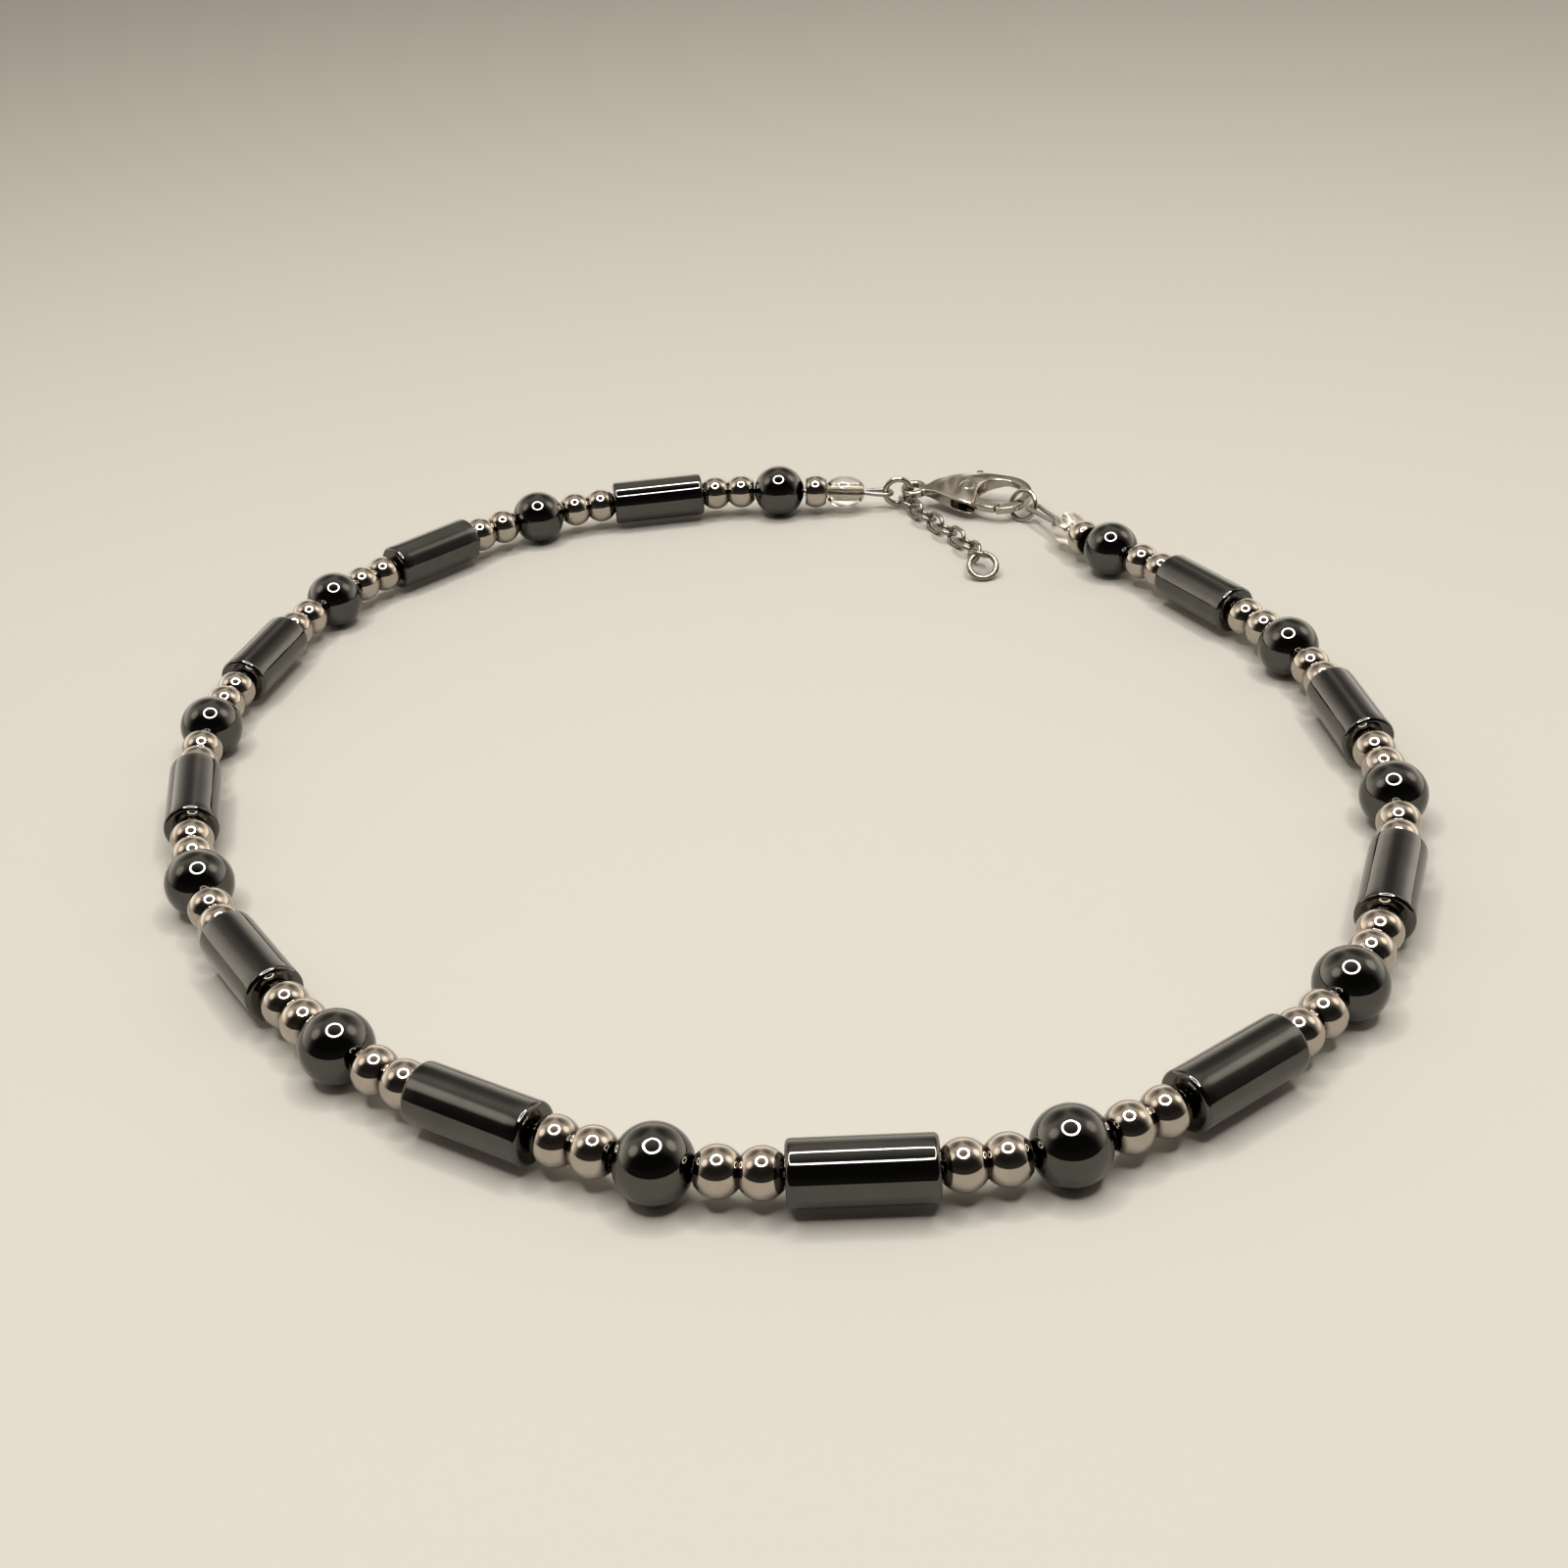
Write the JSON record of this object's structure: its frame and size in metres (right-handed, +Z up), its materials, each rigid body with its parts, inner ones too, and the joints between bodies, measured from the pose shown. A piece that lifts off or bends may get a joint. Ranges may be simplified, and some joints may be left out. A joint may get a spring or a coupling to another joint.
{
  "type": "beaded anklet",
  "caption": "Closed anklet of dark polished round and tube beads with small silver spacers, a lobster clasp and a short extender chain.",
  "frame": {"origin": "centre of the bottom of the bounding box, on the surface the anklet lies on", "axes": "+Z up out of the loop, +Y towards the clasp, +X to the right seen from the front"},
  "size_m": [0.0808, 0.0898, 0.0042],
  "materials": {
    "hematite": "mirror polish",
    "silver_beads": "polished",
    "wire": "satin",
    "clear_beads": "clear gloss",
    "clasp_metal": "polished"
  },
  "bodies": {
    "anklet": {"beading_wire": "wire", "clasp_body": "clasp_metal", "clasp_ring": "clasp_metal", "clear_end_bead_left": "clear_beads", "clear_end_bead_right": "clear_beads", "end_spacer_left": "silver_beads", "end_spacer_right": "silver_beads", "extender_chain": "clasp_metal", "extender_end_ring": "clasp_metal", "jump_ring": "clasp_metal", "round_bead_01": "hematite", "round_bead_02": "hematite", "round_bead_03": "hematite", "round_bead_04": "hematite", "round_bead_05": "hematite", "round_bead_06": "hematite", "round_bead_07": "hematite", "round_bead_08": "hematite", "round_bead_09": "hematite", "round_bead_10": "hematite", "round_bead_11": "hematite", "round_bead_12": "hematite", "spacer_pair_01": "silver_beads", "spacer_pair_02": "silver_beads", "spacer_pair_03": "silver_beads", "spacer_pair_04": "silver_beads", "spacer_pair_05": "silver_beads", "spacer_pair_06": "silver_beads", "spacer_pair_07": "silver_beads", "spacer_pair_08": "silver_beads", "spacer_pair_09": "silver_beads", "spacer_pair_10": "silver_beads", "spacer_pair_11": "silver_beads", "spacer_pair_12": "silver_beads", "spacer_pair_13": "silver_beads", "spacer_pair_14": "silver_beads", "spacer_pair_15": "silver_beads", "spacer_pair_16": "silver_beads", "spacer_pair_17": "silver_beads", "spacer_pair_18": "silver_beads", "spacer_pair_19": "silver_beads", "spacer_pair_20": "silver_beads", "spacer_pair_21": "silver_beads", "spacer_pair_22": "silver_beads", "tube_bead_01": "hematite", "tube_bead_02": "hematite", "tube_bead_03": "hematite", "tube_bead_04": "hematite", "tube_bead_05": "hematite", "tube_bead_06": "hematite", "tube_bead_07": "hematite", "tube_bead_08": "hematite", "tube_bead_09": "hematite", "tube_bead_10": "hematite", "tube_bead_11": "hematite"},
    "clasp_lever": {"clasp_lever": "clasp_metal"}
  },
  "joints": [
    {"name": "clasp_lever_hinge", "type": "hinge", "parent": "anklet", "child": "clasp_lever", "pos_m": [0.01791, 0.04109, 0.00154], "axis": [-0.0508, -0.1661, 0.9848], "range_deg": [0, 26], "stiffness_Nm_per_rad": 0.004, "springref_deg": -11.46}
  ]
}
